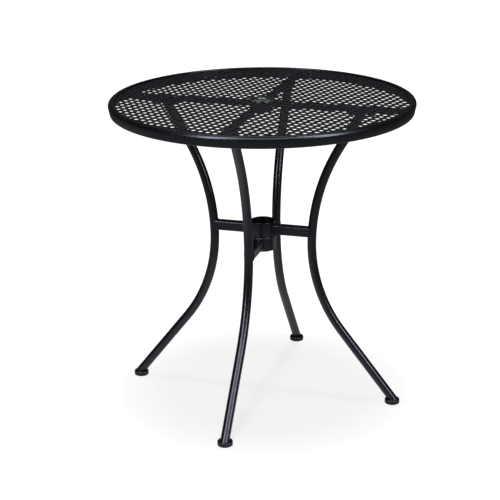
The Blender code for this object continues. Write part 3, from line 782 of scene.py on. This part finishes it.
leg_top_away, leg_top_lean = leg_axis(LEG_TOP)
leg_loops = leg_rings(LEG_RADIUS) + leg_rings(LEG_RADIUS - LEG_WALL)[::-1]
around_top = [Vector((leg_top_away + x / math.cos(leg_top_lean), y, LEG_TOP - LEG_BEAD_OFF))
              for x, y in ring(LEG_RADIUS, LEG_BEAD_POINTS)]
for station in STATIONS:
    leg_mesh = swung(skinned("bent_leg_" + station, leg_loops), station)
    leg = add_piece("bent_leg_" + station, leg_mesh, powder_coat)
    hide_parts("leg_" + station)
    add_weld("plate_weld_", station, around_top, LEG_BEAD, Vector((0, 0, 1)))


# The hub: two short lengths of tube, one on top of the other, that an umbrella's pole passes through. Two
# arms of square tube are welded across each and run out to its pair of legs, the right and left pair above.
HUB_SEAM = 0.395
HUB_GAP = 0.0003
HUB_RING_HEIGHT = 0.0345
HUB_RING_WALL = 0.0025
HUB_UPPER_RADIUS = 0.029
HUB_LOWER_RADIUS = 0.030
HUB_EDGE = 0.0008
HUB_BEAD_HEIGHT = 0.0030
HUB_BEAD_DEPTH = 0.0013
HUB_BEAD_END = -60
HUB_BEAD_GAP = 0.0002
ARM_SIZE = 0.022
ARM_WALL = 0.0015
ARM_CORNER = 0.0022
ARM_OFFSET = 0.0028
ARM_LEAST_REACH = 0.35 * LEG_RADIUS
ARM_BEAD = 0.0016


def hub_profile(radius, bottom, bead):
    """Section of a hub ring, with eased edges and, on the lower one, a rolled bead round its mouth."""
    top = bottom + HUB_RING_HEIGHT
    inside = radius - HUB_RING_WALL
    if bead:
        profile = arc(radius + HUB_BEAD_DEPTH - HUB_BEAD_HEIGHT / 2, top - HUB_BEAD_HEIGHT / 2,
                      HUB_BEAD_HEIGHT / 2, 90, HUB_BEAD_END, steps=10)
        profile += [(radius, top - HUB_BEAD_HEIGHT - HUB_BEAD_GAP)]
    else:
        profile = arc(radius - HUB_EDGE, top - HUB_EDGE, HUB_EDGE, 90, 0, steps=4)
    profile += arc(radius - HUB_EDGE, bottom + HUB_EDGE, HUB_EDGE, 0, -90, steps=4)
    profile += arc(inside + HUB_EDGE, bottom + HUB_EDGE, HUB_EDGE, -90, -180, steps=4)
    return profile + arc(inside + HUB_EDGE, top - HUB_EDGE, HUB_EDGE, 180, 90, steps=4)


def arm_line(y, z, ring_radius, height):
    """The two ends of a line along an arm: where it leaves the hub ring and where it meets the leg."""
    start = math.sqrt(ring_radius ** 2 - y ** 2)
    reach = math.sqrt(max(LEG_RADIUS ** 2 - y ** 2, ARM_LEAST_REACH ** 2))
    end = leg_axis(height + z)[0] - reach
    return Vector((start, y, height + z)), Vector((end, y, height + z))


upper_bottom = HUB_SEAM + HUB_GAP / 2
lower_bottom = HUB_SEAM - HUB_GAP / 2 - HUB_RING_HEIGHT
upper_profile = hub_profile(HUB_UPPER_RADIUS, upper_bottom, bead=False)
lower_profile = hub_profile(HUB_LOWER_RADIUS, lower_bottom, bead=True)
upper_hub = add_piece("upper_hub_ring", turned("upper_hub_ring", upper_profile), powder_coat)
lower_hub = add_piece("lower_hub_ring", turned("lower_hub_ring", lower_profile), powder_coat)
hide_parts("hub_ring_upper")
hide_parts("hub_ring_lower")

arm_outside = square_outline(ARM_SIZE, ARM_CORNER, corner_steps=6, side_steps=8)
arm_inside = square_outline(ARM_SIZE - 2 * ARM_WALL, ARM_CORNER - ARM_WALL, corner_steps=6, side_steps=8)
for station in STATIONS:
    if station in ("right", "left"):
        ring_radius, height = HUB_UPPER_RADIUS, upper_bottom + HUB_RING_HEIGHT / 2 - ARM_OFFSET
    else:
        ring_radius, height = HUB_LOWER_RADIUS, lower_bottom + HUB_RING_HEIGHT / 2 + ARM_OFFSET
    at_hub, at_leg = zip(*[arm_line(y, z, ring_radius, height) for y, z in arm_outside])
    inside_hub, inside_leg = zip(*[arm_line(y, z, ring_radius, height) for y, z in arm_inside])
    arm_mesh = swung(skinned("hub_arm_" + station, [at_hub, at_leg, inside_leg, inside_hub]), station)
    arm = add_piece("hub_arm_" + station, arm_mesh, powder_coat)
    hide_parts("arm_" + station)
    add_weld("hub_weld_", station, at_hub, ARM_BEAD, Vector((1, 0, 0)))
    add_weld("leg_weld_", station, at_leg, ARM_BEAD, Vector((1, 0, 0)))


# The feet: round black plastic pads with a soft top edge, pushed up into the open ends of the legs.
# They are moulded, and a little duller than the powder coat above them.
FOOT_RADIUS = 0.0175
FOOT_HEIGHT = 0.011
FOOT_EDGE = 0.003
FOOT_CHAMFER = 0.0009
FOOT_INSET = 0.0008
FOOT_SIDES = 48
FOOT_BLACK = (0.0060, 0.0064, 0.0070)
FOOT_SPECULAR = 0.40
FOOT_ROUGHNESS = 0.38
FOOT_ROUGHNESS_SPREAD = 0.12
FOOT_GRAIN_SCALE = 1200.0
FOOT_GRAIN_DETAIL = 2.0

foot_plastic, foot_shade, foot_shader = finish(
    "black_foot_plastic", Base_Color=(*FOOT_BLACK, 1), Specular_Tint=(*COAT_TINT, 1),
    Specular_IOR_Level=FOOT_SPECULAR)
foot_grain = foot_shade.grain(FOOT_GRAIN_SCALE, FOOT_GRAIN_DETAIL)
feed(foot_shader, "Roughness", foot_grain * FOOT_ROUGHNESS_SPREAD + FOOT_ROUGHNESS)

foot_profile = [(0, FOOT_HEIGHT)]
foot_profile += arc(FOOT_RADIUS - FOOT_EDGE, FOOT_HEIGHT - FOOT_EDGE, FOOT_EDGE, 90, 0, steps=8)
foot_profile += [(FOOT_RADIUS, FOOT_CHAMFER), (FOOT_RADIUS - FOOT_CHAMFER, 0), (0, 0)]
foot_place = Vector((leg_axis(FOOT_HEIGHT)[0] - FOOT_INSET, 0, 0))
for station in STATIONS:
    pad_mesh = turned("foot_pad_" + station, foot_profile, FOOT_SIDES, closed=False)
    pad_mesh.transform(Matrix.Translation(foot_place))
    pad = add_piece("foot_pad_" + station, swung(pad_mesh, station), foot_plastic)
    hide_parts("foot_" + station)
